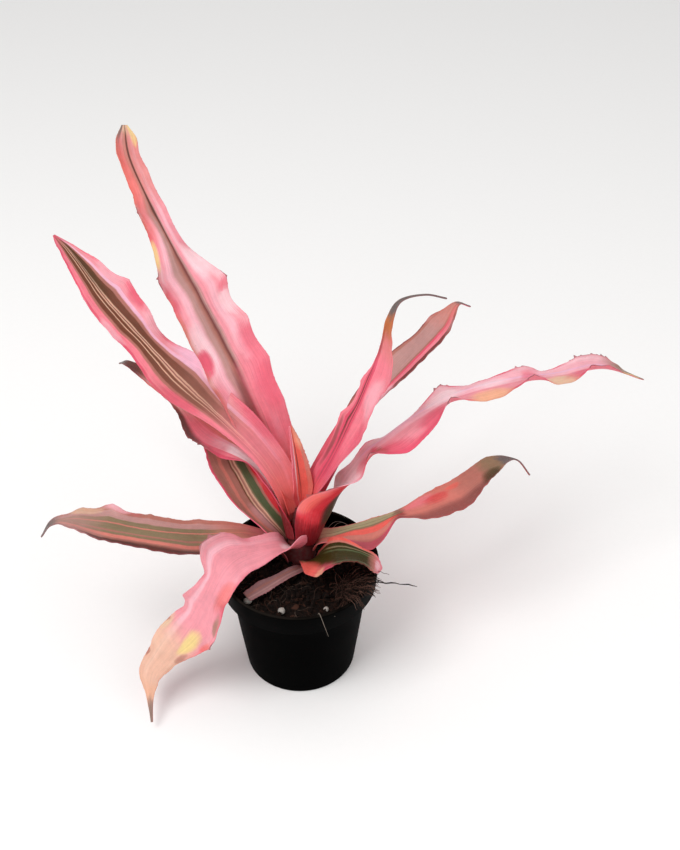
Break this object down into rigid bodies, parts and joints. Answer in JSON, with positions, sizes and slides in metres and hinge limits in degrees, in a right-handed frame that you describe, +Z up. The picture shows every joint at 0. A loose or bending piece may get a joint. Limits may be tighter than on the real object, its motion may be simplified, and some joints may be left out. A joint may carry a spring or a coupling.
{
  "type": "potted earth star bromeliad",
  "caption": "Small potted earth star bromeliad: a loose rosette of long pink and olive leaves with wavy spiny margins, in a round black nursery pot.",
  "frame": {"origin": "middle of the underside of the pot's floor, on the surface that it stands on", "axes": "+Z up through the pot; -Y towards the viewer's side, where the short drooping leaf hangs over the rim; +X towards the longest leaf"},
  "size_m": [0.2989, 0.1818, 0.2232],
  "materials": {
    "pot": "satin",
    "soil": "matte",
    "stem": "matte",
    "roots": "matte",
    "perlite": "matte",
    "leaf_pink": "satin",
    "leaf_pale_pink": "satin",
    "leaf_pink_brown": "satin",
    "leaf_coral": "satin",
    "leaf_rose": "satin",
    "leaf_olive": "satin",
    "leaf_brown_red": "satin",
    "leaf_dry": "matte"
  },
  "bodies": {
    "root": {"pot": "pot", "soil": "soil", "stem": "stem", "dry_roots": "roots", "perlite_1": "perlite", "perlite_2": "perlite", "perlite_3": "perlite", "perlite_4": "perlite", "leaf_right_long": "leaf_pink", "leaf_front_droop": "leaf_pale_pink", "leaf_heart": "leaf_coral", "leaf_front_right": "leaf_olive", "leaf_broad_left": "leaf_pink_brown", "leaf_right_up": "leaf_rose", "leaf_under_left": "leaf_pale_pink", "leaf_low_back_left": "leaf_brown_red", "leaf_right_low": "leaf_coral", "leaf_level_left": "leaf_olive", "leaf_right_behind": "leaf_rose", "leaf_tall_back": "leaf_pink_brown", "leaf_withered": "leaf_dry"}
  },
  "joints": []
}
